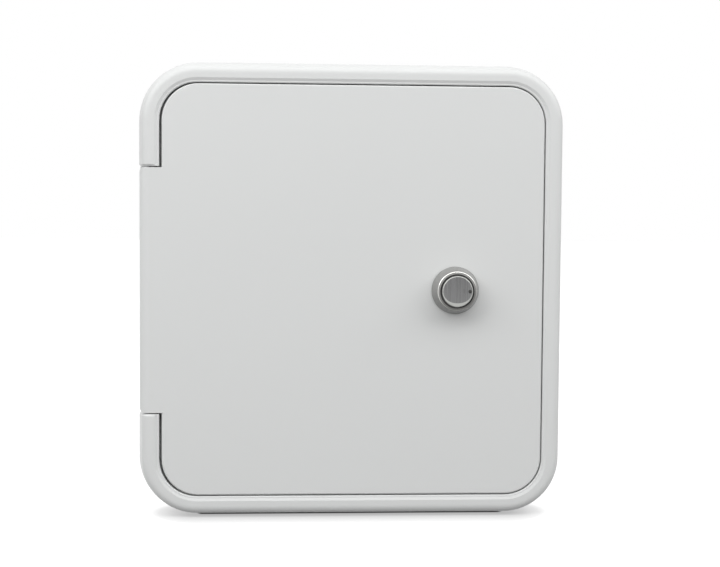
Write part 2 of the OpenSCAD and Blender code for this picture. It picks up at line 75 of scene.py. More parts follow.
# What the lamps aim at, and the gap between the floor and the hatch, in metres
MIDDLE = (0.0, 0.0, 0.0)
FLOOR_GAP = 0.0002
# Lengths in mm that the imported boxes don't give
LOCK_LENGTH = 24.0
COLLAR_DEPTH = 8.8
COLLAR_TAPER = 2.1
RING_WIDTH = 1.4
RECESS_DEPTH = 2.6
PLUG_BORE = 6.06
BARREL_INSET = 2.4
FLAT_DEPTH = 1.5
PLAIN_BARREL = 6.2
POST_REACH = 7.05
POST_ANGLES = (-110.6, 20.6)
NUT_BORE = 9.56
RIM_CORNER = 29.5
EASED_WIDTH = 8.6
CREST_DEPTH = 4.1
DOOR_BACK = 9.8
# Material slots of the lock's collar
CONE, BARREL, LIP, RECESS, RING = range(5)


def box_centre(node):
    """Middle of a node's box at rest."""
    low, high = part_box(node)
    return (low + high) / 2


def add_object(name, data):
    """A new object in the scene."""
    obj = bpy.data.objects.new(name, data)
    bpy.context.scene.collection.objects.link(obj)
    return obj


def smooth(mesh, angle):
    """Shades a mesh smooth up to an angle in degrees, and sharp past it."""
    mesh.shade_smooth()
    mesh.set_sharp_from_angle(angle=math.radians(angle))


class HatchFinishSettings(bpy.types.PropertyGroup):
    """Colours and finishes of the hatch."""

    shell_colour: bpy.props.FloatVectorProperty(
        name="Shell Colour",
        description="Colour of the white moulded plastic",
        subtype="COLOR",
        size=3,
        min=0.0,
        max=1.0,
        default=(0.76, 0.77, 0.765),
    )
    shell_roughness: bpy.props.FloatProperty(
        name="Shell Roughness",
        description="Roughness of the moulded plastic",
        default=0.38,
        min=0.0,
        max=1.0,
    )
    crest_ease: bpy.props.FloatProperty(
        name="Crest Ease",
        description="How far the rim's crest is eased down towards the door's face",
        default=0.00065,
        min=0.0,
        max=0.001,
        unit="LENGTH",
    )
    rubber_colour: bpy.props.FloatVectorProperty(
        name="Rubber Colour",
        description="Colour of the seals",
        subtype="COLOR",
        size=3,
        min=0.0,
        max=1.0,
        default=(0.018, 0.018, 0.019),
    )
    foam_colour: bpy.props.FloatVectorProperty(
        name="Foam Colour",
        description="Colour of the wall gasket",
        subtype="COLOR",
        size=3,
        min=0.0,
        max=1.0,
        default=(0.045, 0.045, 0.05),
    )
    lock_colour: bpy.props.FloatVectorProperty(
        name="Lock Colour",
        description="Colour of the lock's tapered collar",
        subtype="COLOR",
        size=3,
        min=0.0,
        max=1.0,
        default=(0.44, 0.435, 0.425),
    )
    # Painted shade: share of the collar's and the flat ring's colour on the side turned away from
    # the painted light
    collar_painted_shade: bpy.props.FloatProperty(
        name="Collar Painted Shade",
        description="Tone of the collar's dark side, as a share of its light side",
        default=0.52,
        min=0.2,
        max=1.0,
    )
    # Painted shade: share of the lip's colour on the side turned away from the painted light
    lip_painted_shade: bpy.props.FloatProperty(
        name="Lip Painted Shade",
        description="Tone of the lip's dark side, as a share of its light side",
        default=0.22,
        min=0.1,
        max=1.0,
    )
    # Painted shade: the flat ring is the collar's own metal, given a darker colour
    ring_shade_colour: bpy.props.FloatVectorProperty(
        name="Ring Shade Colour",
        description="Colour of the flat ring at the front of the lock's collar",
        subtype="COLOR",
        size=3,
        min=0.0,
        max=1.0,
        default=(0.27, 0.268, 0.26),
    )
    # Painted highlight: the lip's light colour, kept full only on its upper side by the painted
    # shade round the axis
    lip_highlight_colour: bpy.props.FloatVectorProperty(
        name="Lip Highlight Colour",
        description="Colour of the collar's polished rounded lip",
        subtype="COLOR",
        size=3,
        min=0.0,
        max=1.0,
        default=(0.8, 0.8, 0.77),
    )
    # The plug's own dark colour, also put on the collar's recess round it as painted shade
    plug_and_recess_shade_colour: bpy.props.FloatVectorProperty(
        name="Plug and Recess Shade Colour",
        description="Colour of the lock's plug and of the recess round it",
        subtype="COLOR",
        size=3,
        min=0.0,
        max=1.0,
        default=(0.09, 0.09, 0.09),
    )
    cover_colour: bpy.props.FloatVectorProperty(
        name="Cover Colour",
        description="Colour of the dust cover's brushed face",
        subtype="COLOR",
        size=3,
        min=0.0,
        max=1.0,
        default=(0.175, 0.175, 0.176),
    )
    # Painted highlight: the cover's edge is the same metal as its face, given a lighter colour
    edge_highlight_colour: bpy.props.FloatVectorProperty(
        name="Edge Highlight Colour",
        description="Colour of the dust cover's polished edge",
        subtype="COLOR",
        size=3,
        min=0.0,
        max=1.0,
        default=(0.37, 0.375, 0.36),
    )
    zinc_colour: bpy.props.FloatVectorProperty(
        name="Zinc Colour",
        description="Colour of the zinc plated inner pieces",
        subtype="COLOR",
        size=3,
        min=0.0,
        max=1.0,
        default=(0.56, 0.57, 0.58),
    )


class HatchStageSettings(bpy.types.PropertyGroup):
    """Camera, lamps and floor."""

    camera_place: bpy.props.FloatVectorProperty(
        name="Camera Place",
        description="Where the camera stands",
        subtype="XYZ",
        unit="LENGTH",
        size=3,
        default=(-0.0417, -0.7123, 0.0414),
    )
    camera_turn: bpy.props.FloatVectorProperty(
        name="Camera Turn",
        description="Yaw, pitch and roll of the camera in degrees",
        size=3,
        default=(-3.69, -3.06, -0.42),
    )
    focal_pixels: bpy.props.FloatProperty(
        name="Focal Length",
        description="Focal length in pixels of the photograph",
        default=1405.0,
        min=300.0,
    )
    left_lamp: bpy.props.FloatProperty(
        name="Left Lamp",
        description="Power of the soft lamp at the upper left",
        default=4.1,
        min=0.0,
        unit="POWER",
    )
    top_lamp: bpy.props.FloatProperty(
        name="Top Lamp",
        description="Power of the wide soft lamp above the hatch",
        default=4.9,
        min=0.0,
        unit="POWER",
    )
    right_lamp: bpy.props.FloatProperty(
        name="Right Lamp",
        description="Power of the soft lamp at the upper right",
        default=3.5,
        min=0.0,
        unit="POWER",
    )
    sky: bpy.props.FloatProperty(
        name="Sky",
        description="Strength of the even light from all round",
        default=0.4,
        min=0.0,
    )
    floor_colour: bpy.props.FloatVectorProperty(
        name="Floor Colour",
        description="Colour of the floor",
        subtype="COLOR",
        size=3,
        min=0.0,
        max=1.0,
        default=(0.3, 0.3, 0.3),
    )
    # Painted shadow: this glow is low close to the hatch and zero on its contact strip
    floor_glow: bpy.props.FloatProperty(
        name="Floor Glow",
        description="Brightness added to the floor close to the hatch",
        default=0.46,
        min=0.0,
        max=1.0,
    )
    shadow_reach: bpy.props.FloatProperty(
        name="Shadow Reach",
        description="Distance at which the floor is fully white",
        default=0.03,
        min=0.005,
        unit="LENGTH",
    )


class HatchLockSettings(bpy.types.PropertyGroup):
    """Sizes of the lock's fine shapes."""

    lip_round: bpy.props.FloatProperty(
        name="Lip Rounding",
        description="Radius of the collar's front edge",
        default=0.0005,
        min=0.0002,
        max=0.0012,
        unit="LENGTH",
    )
    thread_pitch: bpy.props.FloatProperty(
        name="Thread Pitch",
        description="Pitch of the barrel's and the nut's thread",
        default=0.001,
        min=0.0005,
        max=0.002,
        unit="LENGTH",
    )
    thread_depth: bpy.props.FloatProperty(
        name="Thread Depth",
        description="Depth of the barrel's thread",
        default=0.00035,
        min=0.0001,
        max=0.0006,
        unit="LENGTH",
    )
    bevel_side: bpy.props.FloatProperty(
        name="Cover Edge",
        description="Width of the cover's polished edge at its top and sides",
        default=0.0006,
        min=0.0003,
        max=0.0015,
        unit="LENGTH",
    )
    bevel_low: bpy.props.FloatProperty(
        name="Cover Thumb Bevel",
        description="Width of the cover's polished edge at its bottom",
        default=0.0019,
        min=0.0005,
        max=0.003,
        unit="LENGTH",
    )


def new_material(name):
    """A new material, its node tree and its Principled shader."""
    material = bpy.data.materials.new(name)
    material.use_nodes = True
    tree = material.node_tree
    shader = tree.nodes["Principled BSDF"]
    return material, tree, shader


def link(tree, source, target):
    """Joins one socket to another."""
    tree.links.new(source, target)


def group_tree(name, inputs, outputs):
    """A shader node group with its named sockets, and its two end nodes."""
    tree = bpy.data.node_groups.new(name, "ShaderNodeTree")
    for label, kind, default in inputs:
        socket = tree.interface.new_socket(name=label, in_out="INPUT", socket_type=kind)
        socket.default_value = default
    for label, kind in outputs:
        tree.interface.new_socket(name=label, in_out="OUTPUT", socket_type=kind)
    return tree, tree.nodes.new("NodeGroupInput"), tree.nodes.new("NodeGroupOutput")


def math_node(tree, operation, first, second=None):
    """A math node fed by sockets or numbers, and its result."""
    node = tree.nodes.new("ShaderNodeMath")
    node.operation = operation
    for socket, value in zip(node.inputs, (first, second)):
        if isinstance(value, bpy.types.NodeSocket):
            link(tree, value, socket)
        elif value is not None:
            socket.default_value = value
    return node.outputs[0]


def scaled_colour(tree, colour, factor):
    """A colour socket times a number socket."""
    node = tree.nodes.new("ShaderNodeVectorMath")
    node.operation = "SCALE"
    link(tree, colour, node.inputs[0])
    link(tree, factor, node.inputs["Scale"])
    return node.outputs[0]


def vary_finish(tree, start, end, noise, amount):
    """Lets a noise vary a group's colour and roughness round their given values."""
    swing = math_node(tree, "SUBTRACT", noise, 0.5)
    swing = math_node(tree, "MULTIPLY", swing, amount)
    level = math_node(tree, "ADD", swing, 1.0)
    link(tree, scaled_colour(tree, start.outputs["Colour"], level), end.inputs["Colour"])
    rough = math_node(tree, "ADD", start.outputs["Roughness"], swing)
    link(tree, rough, end.inputs["Roughness"])


def moulded_grain_group():
    """Fine spark texture and slow unevenness of moulded plastic."""
    name = "Moulded Grain"
    if name in bpy.data.node_groups:
        return bpy.data.node_groups[name]
    tree, start, end = group_tree(
        name,
        [
            ("Colour", "NodeSocketColor", (0.8, 0.8, 0.8, 1.0)),
            ("Grain Scale", "NodeSocketFloat", 1800.0),
            ("Cloud Scale", "NodeSocketFloat", 9.0),
            ("Unevenness", "NodeSocketFloat", 0.03),
            ("Roughness", "NodeSocketFloat", 0.4),
        ],
        [
            ("Colour", "NodeSocketColor"),
            ("Roughness", "NodeSocketFloat"),
            ("Height", "NodeSocketFloat"),
        ],
    )
    nodes = tree.nodes
    place = nodes.new("ShaderNodeTexCoord")
    grain = nodes.new("ShaderNodeTexNoise")
    grain.inputs["Detail"].default_value = 2.0
    link(tree, place.outputs["Object"], grain.inputs["Vector"])
    link(tree, start.outputs["Grain Scale"], grain.inputs["Scale"])
    cloud = nodes.new("ShaderNodeTexNoise")
    cloud.inputs["Detail"].default_value = 3.0
    link(tree, place.outputs["Object"], cloud.inputs["Vector"])
    link(tree, start.outputs["Cloud Scale"], cloud.inputs["Scale"])
    vary_finish(tree, start, end, cloud.outputs["Fac"], start.outputs["Unevenness"])
    link(tree, grain.outputs["Fac"], end.inputs["Height"])
    return tree


def brushed_group():
    """Fine lines along one axis, as a brush or a lathe leaves them in metal."""
    name = "Brushed Lines"
    if name in bpy.data.node_groups:
        return bpy.data.node_groups[name]
    tree, start, end = group_tree(
        name,
        [
            ("Vector", "NodeSocketVector", (0.0, 0.0, 0.0)),
            ("Stretch", "NodeSocketVector", (6000.0, 6000.0, 120.0)),
            ("Colour", "NodeSocketColor", (0.5, 0.5, 0.5, 1.0)),
            ("Contrast", "NodeSocketFloat", 0.25),
            ("Roughness", "NodeSocketFloat", 0.3),
        ],
        [
            ("Colour", "NodeSocketColor"),
            ("Roughness", "NodeSocketFloat"),
            ("Height", "NodeSocketFloat"),
        ],
    )
    nodes = tree.nodes
    scaled = nodes.new("ShaderNodeVectorMath")
    scaled.operation = "MULTIPLY"
    link(tree, start.outputs["Vector"], scaled.inputs[0])
    link(tree, start.outputs["Stretch"], scaled.inputs[1])
    lines = nodes.new("ShaderNodeTexNoise")
    lines.inputs["Scale"].default_value = 1.0
    lines.inputs["Detail"].default_value = 3.0
    link(tree, scaled.outputs[0], lines.inputs["Vector"])
    vary_finish(tree, start, end, lines.outputs["Fac"], start.outputs["Contrast"])
    link(tree, lines.outputs["Fac"], end.inputs["Height"])
    return tree


def place_group(tree, group, values):
    """Adds a shader group to a material and sets its inputs."""
    node = tree.nodes.new("ShaderNodeGroup")
    node.node_tree = group
    for label, value in values.items():
        node.inputs[label].default_value = value
    return node


def feed_shader(tree, shader, node, bump, distance):
    """Takes colour, roughness and height from a group into the shader."""
    link(tree, node.outputs["Colour"], shader.inputs["Base Color"])
    link(tree, node.outputs["Roughness"], shader.inputs["Roughness"])
    relief = tree.nodes.new("ShaderNodeBump")
    relief.inputs["Strength"].default_value = bump
    relief.inputs["Distance"].default_value = distance
    link(tree, node.outputs["Height"], relief.inputs["Height"])
    link(tree, relief.outputs["Normal"], shader.inputs["Normal"])


def shell_material(settings):
    """White moulded plastic."""
    material, tree, shader = new_material("White Moulded Plastic")
    node = place_group(
        tree,
        moulded_grain_group(),
        {
            "Colour": (*settings.shell_colour, 1.0),
            "Grain Scale": 2200.0,
            "Cloud Scale": 11.0,
            "Unevenness": 0.02,
            "Roughness": settings.shell_roughness,
        },
    )
    feed_shader(tree, shader, node, 0.12, 0.00004)
    shader.inputs["Specular IOR Level"].default_value = 0.45
    return material


def soft_material(name, colour, roughness, scale, bump):
    """Rubber or foam with a grained skin."""
    material, tree, shader = new_material(name)
    node = place_group(
        tree,
        moulded_grain_group(),
        {
            "Colour": (*colour, 1.0),
            "Grain Scale": scale,
            "Cloud Scale": 40.0,
            "Unevenness": 0.2,
            "Roughness": roughness,
        },
    )
    feed_shader(tree, shader, node, bump, 0.0002)
    return material


def painted_shade_group():
    """Painted light and shade on turned metal: lighter on the side towards the painted light,
    darker round the far side of an axis out of the wall.
    """
    name = "Turned Tone"
    if name in bpy.data.node_groups:
        return bpy.data.node_groups[name]
    tree, start, end = group_tree(
        name,
        [
            ("Colour", "NodeSocketColor", (0.5, 0.5, 0.5, 1.0)),
            ("Axis", "NodeSocketVector", (0.0, 0.0, 0.0)),
            ("Light Side", "NodeSocketVector", (-0.25, 0.0, 0.97)),
            ("Least", "NodeSocketFloat", 0.6),
        ],
        [("Colour", "NodeSocketColor")],
    )
    nodes = tree.nodes
    place = nodes.new("ShaderNodeTexCoord")
    offset = nodes.new("ShaderNodeVectorMath")
    offset.operation = "SUBTRACT"
    link(tree, place.outputs["Object"], offset.inputs[0])
    link(tree, start.outputs["Axis"], offset.inputs[1])
    flat = nodes.new("ShaderNodeVectorMath")
    flat.operation = "MULTIPLY"
    flat.inputs[1].default_value = (1.0, 0.0, 1.0)
    link(tree, offset.outputs[0], flat.inputs[0])
    unit = nodes.new("ShaderNodeVectorMath")
    unit.operation = "NORMALIZE"
    link(tree, flat.outputs[0], unit.inputs[0])
    towards = nodes.new("ShaderNodeVectorMath")
    towards.operation = "DOT_PRODUCT"
    link(tree, unit.outputs[0], towards.inputs[0])
    link(tree, start.outputs["Light Side"], towards.inputs[1])
    # Painted light and shade: full colour on the light side, falling to Least on the far side
    spread = nodes.new("ShaderNodeMapRange")
    spread.interpolation_type = "SMOOTHSTEP"
    spread.inputs["From Min"].default_value = -0.9
    spread.inputs["From Max"].default_value = 0.9
    link(tree, towards.outputs["Value"], spread.inputs["Value"])
    link(tree, start.outputs["Least"], spread.inputs["To Min"])
    painted_tone = scaled_colour(tree, start.outputs["Colour"], spread.outputs["Result"])
    link(tree, painted_tone, end.inputs["Colour"])
    return tree


def shaded_turned_material(name, colour, roughness, stretch, axis, least):
    """Turned metal with painted light and shade: its colour is lighter on one side of its axis and
    darker on the other.
    """
    material = metal_material(name, colour, roughness, 0.15, stretch, 0.03)
    tree = material.node_tree
    shader = tree.nodes["Principled BSDF"]
    lines = shader.inputs["Base Color"].links[0].from_socket
    tone = place_group(tree, painted_shade_group(), {"Axis": tuple(axis), "Least": least})
    link(tree, lines, tone.inputs["Colour"])
    link(tree, tone.outputs["Colour"], shader.inputs["Base Color"])
    return material


def metal_material(name, colour, roughness, contrast, stretch, bump=0.1):
    """Metal with fine lines along one axis."""
    material, tree, shader = new_material(name)
    place = tree.nodes.new("ShaderNodeTexCoord")
    node = place_group(
        tree,
        brushed_group(),
        {
            "Stretch": stretch,
            "Colour": (*colour, 1.0),
            "Contrast": contrast,
            "Roughness": roughness,
        },
    )
    link(tree, place.outputs["Object"], node.inputs["Vector"])
    feed_shader(tree, shader, node, bump, 0.00003)
    shader.inputs["Metallic"].default_value = 1.0
    return material


def dress(node, material):
    """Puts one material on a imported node."""
    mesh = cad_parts[node].data
    mesh.materials.clear()
    mesh.materials.append(material)
    for polygon in mesh.polygons:
        polygon.material_index = 0


def arc(centre, radius, start, end, steps):
    """Points of an arc in a section, angles in degrees."""
    points = []
    for i in range(steps + 1):
        a = math.radians(start + (end - start) * i / steps)
        points.append((centre[0] + radius * math.cos(a), centre[1] + radius * math.sin(a)))
    return points


def turned_point(axis, radius, height, angle):
    """A point in metres, from a radius and a height in mm round an axis out of the wall."""
    return (
        axis.x + radius * MM * math.cos(angle),
        -height * MM,
        axis.z + radius * MM * math.sin(angle),
    )


def spin(bm, section, axis, turns=96, reach=None, closed=False, slot=0):
    """Turns a section of (radius, height) points in mm round an axis out of the wall."""
    rings = []
    for radius, height in section:
        if radius < 1e-6:
            rings.append([bm.verts.new((axis.x, -height * MM, axis.z))])
            continue
        ring = []
        for k in range(turns):
            a = math.tau * k / turns
            r = reach(radius, height, a) if reach else radius
            ring.append(bm.verts.new(turned_point(axis, r, height, a)))
        rings.append(ring)
    pairs = list(zip(rings, rings[1:]))
    if closed:
        pairs.append((rings[-1], rings[0]))
    for low, high in pairs:
        for k in range(turns):
            n = (k + 1) % turns
            if len(low) == 1:
                corners = (low[0], high[n], high[k])
            elif len(high) == 1:
                corners = (low[k], low[n], high[0])
            else:
                corners = (low[k], low[n], high[n], high[k])
            bm.faces.new(corners).material_index = slot


def take_mesh(name, bm):
    """The mesh of a bmesh, which is freed."""
    mesh = bpy.data.meshes.new(name)
    bm.to_mesh(mesh)
    bm.free()
    return mesh


def closed_mesh(name, bm):
    """The mesh of a bmesh with its seams merged and its faces outward."""
    bmesh.ops.remove_doubles(bm, verts=bm.verts, dist=1e-7)
    bmesh.ops.recalc_face_normals(bm, faces=bm.faces)
    return take_mesh(name, bm)


def piece(name, bm, materials, body, replaced=(), sharp=SHARP):
    """Turns a bmesh into a finished object that rides on a body."""
    mesh = closed_mesh(name, bm)
    smooth(mesh, sharp)
    for material in materials:
        mesh.materials.append(material)
    obj = add_object(name, mesh)
    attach(obj, body)
    if replaced:
        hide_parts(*replaced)
    return obj


def thread(height, angle, pitch, depth):
    """How deep a thread cuts at one height and angle."""
    phase = (height / pitch - angle / math.tau) % 1.0
    return depth * min(1.0, 2.6 * abs(phase - 0.5))


def hexagon(across, angle):
    """Reach of a hexagon with a corner at angle zero."""
    off = (angle % (math.pi / 3)) - math.pi / 6
    return across / 2 / math.cos(off)


def cut_out(obj, cutters):
    """Cuts plain bodies out of a piece and removes them."""
    for cutter in cutters:
        modifier = obj.modifiers.new("cut", "BOOLEAN")
        modifier.operation = "DIFFERENCE"
        modifier.solver = "EXACT"
        modifier.object = cutter
    graph = bpy.context.evaluated_depsgraph_get()
    cut = bpy.data.meshes.new_from_object(obj.evaluated_get(graph))
    obj.modifiers.clear()
    old = obj.data
    obj.data = cut
    cut.name = old.name + "_cut"
    bpy.data.meshes.remove(old)
    for cutter in cutters:
        mesh = cutter.data
        bpy.data.objects.remove(cutter)
        bpy.data.meshes.remove(mesh)


def cutter_box(name, low, high, round_to=0.0):
    """A box for cutting, from one corner to another in metres, with its edges rounded."""
    bm = bmesh.new()
    bmesh.ops.create_cube(bm, size=1.0)
    size = Vector(high) - Vector(low)
    middle = (Vector(low) + Vector(high)) / 2
    for vert in bm.verts:
        vert.co = Vector((vert.co.x * size.x, vert.co.y * size.y, vert.co.z * size.z)) + middle
    if round_to:
        bmesh.ops.bevel(bm, geom=bm.edges, offset=round_to, segments=2, affect="EDGES", profile=0.5)
    return add_object(name, take_mesh(name, bm))


def collar_slot(axis, face, front, front_r, lip):
    """Which of the collar's materials a face takes."""
    middle = face.calc_center_median()
    radius = math.hypot(middle.x - axis.x, middle.z - axis.z) / MM
    height = -middle.y / MM
    if height < front - COLLAR_DEPTH - 0.05:
        return BARREL
    if height < front - 0.3 and radius < front_r - RING_WIDTH + 0.05:
        return RECESS
    if height > front - lip * 0.85:
        return LIP if radius > front_r - lip * 0.75 else RING
    return CONE


def make_collar(lock, finish):
    """Tapered collar with a rounded lip, and its threaded barrel with two flats."""
    low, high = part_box("lock_housing")
    axis = box_centre("dust_cover")
    front = -low.y / MM
    back = front - LOCK_LENGTH
    base_r = (high.x - low.x) / 2 / MM
    base_h = front - COLLAR_DEPTH
    front_r = base_r - COLLAR_TAPER
    recess_r = front_r - RING_WIDTH
    barrel_r = base_r - BARREL_INSET
    flat = barrel_r - FLAT_DEPTH
    pitch = lock.thread_pitch / MM
    depth = lock.thread_depth / MM
    lip = lock.lip_round / MM
    slope = math.degrees(math.atan2(base_r - front_r, COLLAR_DEPTH))
    foot, brim = 0.3, 0.22
    section = [(barrel_r, base_h), (base_r - foot, base_h)]
    section += arc((base_r - foot, base_h + foot), foot, -90, slope, 5)
    section += arc((front_r - lip + 0.06, front - lip), lip, slope, 90, 10)
    section += arc((recess_r + brim, front - brim), brim, 90, 180, 4)
    section += [(recess_r, front - RECESS_DEPTH), (PLUG_BORE, front - RECESS_DEPTH)]
    section += [(PLUG_BORE, back + foot), (PLUG_BORE + foot, back), (barrel_r - 0.7, back)]
    rows = 44
    thread_low = back + 0.6
    thread_top = base_h - PLAIN_BARREL
    for i in range(rows + 1):
        section.append((barrel_r, thread_low + (thread_top - back - 0.6) * i / rows))
    section.append((barrel_r - 0.12, thread_top + foot))

    def reach(radius, height, angle):
        r = radius
        if radius > PLUG_BORE + 0.5 and height < base_h - 0.01:
            if radius == barrel_r and height <= thread_top:
                r -= thread(height, angle, pitch, depth)
            r = min(r, flat / max(1e-6, abs(math.cos(angle))))
        return r

    bm = bmesh.new()
    spin(bm, section, axis, turns=128, reach=reach, closed=True)
    for face in bm.faces:
        face.material_index = collar_slot(axis, face, front, front_r, lip)
    post = [(0, -1.9), (0.9, -1.9), (0.9, -3.05), (0.75, -3.2), (0, -3.2)]
    for angle in POST_ANGLES:
        at = Vector(turned_point(axis, POST_REACH, 0, math.radians(angle)))
        spin(bm, post, at, turns=24, slot=BARREL)
    around, coarse = (500.0, 7000.0, 500.0), (900.0, 3000.0, 900.0)
    # The collar, its lip and its flat ring take painted light and shade round the lock's axis:
    # lighter on the upper side, darker round the rest
    materials = (
        shaded_turned_material("Lock Collar", finish.lock_colour, 0.22, around, axis, finish.collar_painted_shade),
        metal_material("Lock Barrel", (0.5, 0.5, 0.5), 0.35, 0.2, coarse),
        shaded_turned_material("Polished Lip", finish.lip_highlight_colour, 0.22, around, axis, finish.lip_painted_shade),
        # Painted shade: the collar's recess takes the plug's near-black colour, darker than the
        # rest of the collar
        metal_material("Lock Recess", finish.plug_and_recess_shade_colour, 0.4, 0.2, coarse),
        shaded_turned_material("Lock Ring", finish.ring_shade_colour, 0.2, around, axis, finish.collar_painted_shade),
    )
    piece("lock_collar", bm, materials, "door", ("lock_housing",), sharp=32.0)


def make_cover(lock, finish):
    """Domed cover with a brushed face, a polished edge with a thumb bevel whose lighter colour is a
    painted highlight, and two grooves.
    """
    low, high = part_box("dust_cover")
    axis = box_centre("dust_cover")
    radius = (high.x - low.x) / 2 / MM + 0.12
    base = -high.y / MM
    top = -low.y / MM
    rise = 0.35
    dome = (radius * radius + rise * rise) / (2 * rise)
    side = lock.bevel_side / MM
    wide = lock.bevel_low / MM
    turns = 128
    edge_steps = 8
    shares = (0.15, 0.3, 0.45, 0.6, 0.75, 0.9, 1.0)
    stations = [(share, 0.0) for share in shares]
    stations += [(1.0, i / edge_steps) for i in range(1, edge_steps + 1)]
    bm = bmesh.new()
    middle = bm.verts.new((axis.x, -top * MM, axis.z))
    rows = []
    for share, t in stations:
        row = []
        for k in range(turns):
            a = math.tau * k / turns
            width = side + (wide - side) * max(0.0, -math.sin(a)) ** 2.2
            inner = radius - width
            face_h = top - inner * inner / 2 / dome
            fall = face_h - base - 0.25
            power = 2.0 - 0.6 * (width - side) / max(1e-6, wide - side)
            r = inner * share + width * t
            drop = 1.0 - (1.0 - t ** power) ** (1.0 / power)
            h = top - r * r / 2 / dome if t == 0.0 else face_h - fall * drop
            row.append(bm.verts.new(turned_point(axis, r, h, a)))
        rows.append(row)
    for r in (radius, radius - 0.2):
        points = [turned_point(axis, r, base, math.tau * k / turns) for k in range(turns)]
        rows.append([bm.verts.new(point) for point in points])
    rows.append([bm.verts.new((axis.x, -base * MM, axis.z))])
    for k in range(turns):
        n = (k + 1) % turns
        bm.faces.new((middle, rows[0][k], rows[0][n]))
    face_rows = len(shares) - 1
    for index, (one, two) in enumerate(zip(rows, rows[1:])):
        for k in range(turns):
            n = (k + 1) % turns
            if len(two) == 1:
                face = bm.faces.new((one[k], one[n], two[0]))
            else:
                face = bm.faces.new((one[k], one[n], two[n], two[k]))
            face.material_index = 1 if index >= face_rows else 0
    upright, even = (2600.0, 60.0, 60.0), (3000.0, 3000.0, 3000.0)
    brushed = metal_material("Brushed Cover", finish.cover_colour, 0.33, 0.7, upright)
    # Painted highlight: the edge's lighter colour; its smoother lines are its own finish
    polished_highlight = metal_material("Polished Edge", finish.edge_highlight_colour, 0.34, 0.1, even, 0.0)
    cover = piece(
        "dust_cover_disc", bm, (brushed, polished_highlight),
        "cover", ("dust_cover",), sharp=38.0,
    )
    cutters = []
    for side_sign in (-1, 1):
        x = axis.x + (3.7 + side_sign * 0.6) * MM
        cutters.append(cutter_box(
            f"groove_{side_sign}",
            (x - 0.3 * MM, -(top + 1.0) * MM, axis.z - 1.2 * MM),
            (x + 0.3 * MM, -(top - 0.38) * MM, axis.z + 1.2 * MM),
            0.12 * MM,
        ))
    cut_out(cover, cutters)


def make_rivet():
    """Pivot rivet of the cover, with a low round head."""
    low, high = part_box("cover_rivet")
    axis = box_centre("cover_rivet")
    top = -low.y / MM
    foot = -high.y / MM
    seat = top - 0.52
    round_r = 1.25
    shank = 0.78
    tip = foot + 0.06
    section = [(0, top)] + arc((0.0, top - round_r), round_r, 76, 48, 5)
    section += [(0.9, seat), (shank, seat), (shank, tip + 0.1), (shank - 0.1, tip), (0, tip)]
    bm = bmesh.new()
    spin(bm, section, axis, turns=32)
    steel = metal_material("Dark Steel", (0.05, 0.05, 0.048), 0.55, 0.2, (3000.0, 3000.0, 3000.0))
    piece("pivot_rivet", bm, (steel,), "plug", ("cover_rivet",), sharp=40.0)


def make_nut(lock, zinc):
    """Hexagon nut with chamfered corners and a thread."""
    low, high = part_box("lock_nut")
    axis = box_centre("dust_cover")
    top, bottom = -low.y / MM, -high.y / MM
    across = (high.z - low.z) / MM
    corner = across / 2 / math.cos(math.pi / 6)
    pitch = lock.thread_pitch / MM
    bore = NUT_BORE
    flank = across / 2 - 0.3
    chamfer = 1.0
    section = [(bore, top), (bore + 0.5, top), (flank, top), (corner, top - chamfer)]
    section += [(corner, bottom + chamfer), (flank, bottom), (bore + 0.5, bottom), (bore, bottom)]
    rows = 16
    section += [(bore, bottom + (top - bottom) * i / rows) for i in range(1, rows)]

    def reach(radius, height, angle):
        if radius > bore + 1:
            return min(radius, hexagon(across, angle))
        if radius == bore and bottom < height < top:
            return bore + 0.3 * ((height / pitch - angle / math.tau) % 1.0)
        return radius

    bm = bmesh.new()
    spin(bm, section, axis, turns=96, reach=reach, closed=True)
    piece("barrel_nut", bm, (zinc,), "door", ("lock_nut",), sharp=28.0)


def make_cam_screw(steel):
    """Hexagon screw that holds the cam."""
    low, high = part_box("cam_screw")
    axis = box_centre("dust_cover")
    end, back = -low.y / MM, -high.y / MM
    seat = back + 2.4
    corner = 4.0
    across = corner * 2 * math.cos(math.pi / 6)
    shank = 2.0
    section = [(0, back), (across / 2 - 0.25, back), (corner, back + 0.6)]
    section += [(corner, seat - 0.1), (corner - 0.3, seat), (shank, seat)]
    section += [(shank, end - 0.4), (shank - 0.4, end), (0, end)]

    def reach(radius, height, angle):
        return min(radius, hexagon(across, angle)) if radius > 2.5 else radius

    bm = bmesh.new()
    spin(bm, section, axis, turns=48, reach=reach)
    piece("cam_bolt", bm, (steel,), "plug", ("cam_screw",), sharp=28.0)


